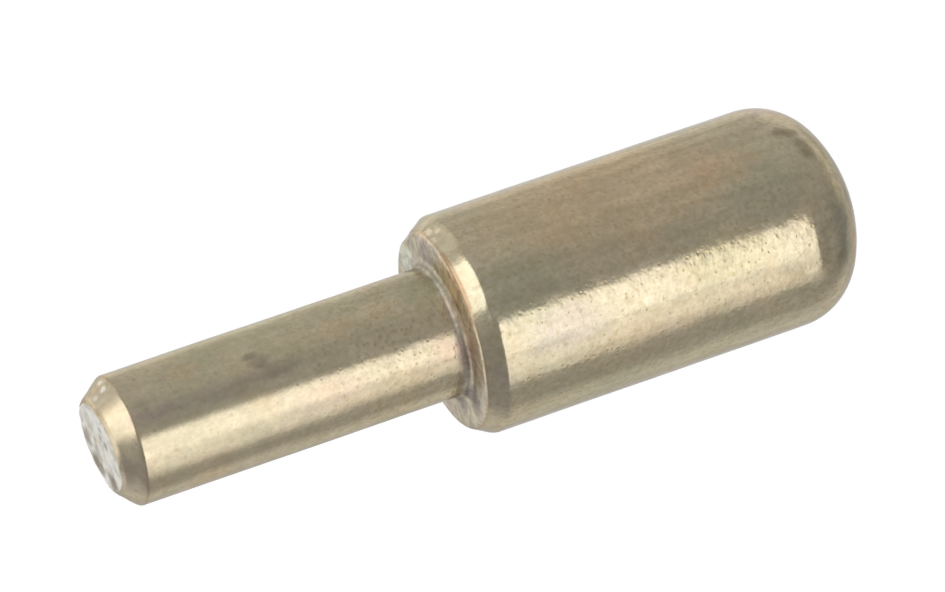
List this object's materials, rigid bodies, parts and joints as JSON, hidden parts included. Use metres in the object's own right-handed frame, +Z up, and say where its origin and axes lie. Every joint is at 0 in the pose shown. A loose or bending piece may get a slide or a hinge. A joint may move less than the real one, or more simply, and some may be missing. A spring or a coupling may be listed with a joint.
{
  "type": "shelf support pin",
  "caption": "Plug-in shelf support pin: a thin stem for a drilled hole in the cabinet side, and a thicker round-ended head that carries the shelf.",
  "frame": {"origin": "centre of the shoulder's face, where the pin stops against the cabinet's side", "axes": "+X along the pin's axis, from the shoulder to the head's round end, so the stem points along -X; +Z up with the stem level in its hole; the pin is round, so Y and Z are free to turn"},
  "size_m": [0.018, 0.005, 0.005],
  "materials": {
    "bronzed_steel": "thin satin bronze plating on turned steel, finely pitted and a little tarnished"
  },
  "bodies": {
    "root": {"pin": "bronzed_steel"}
  },
  "joints": []
}
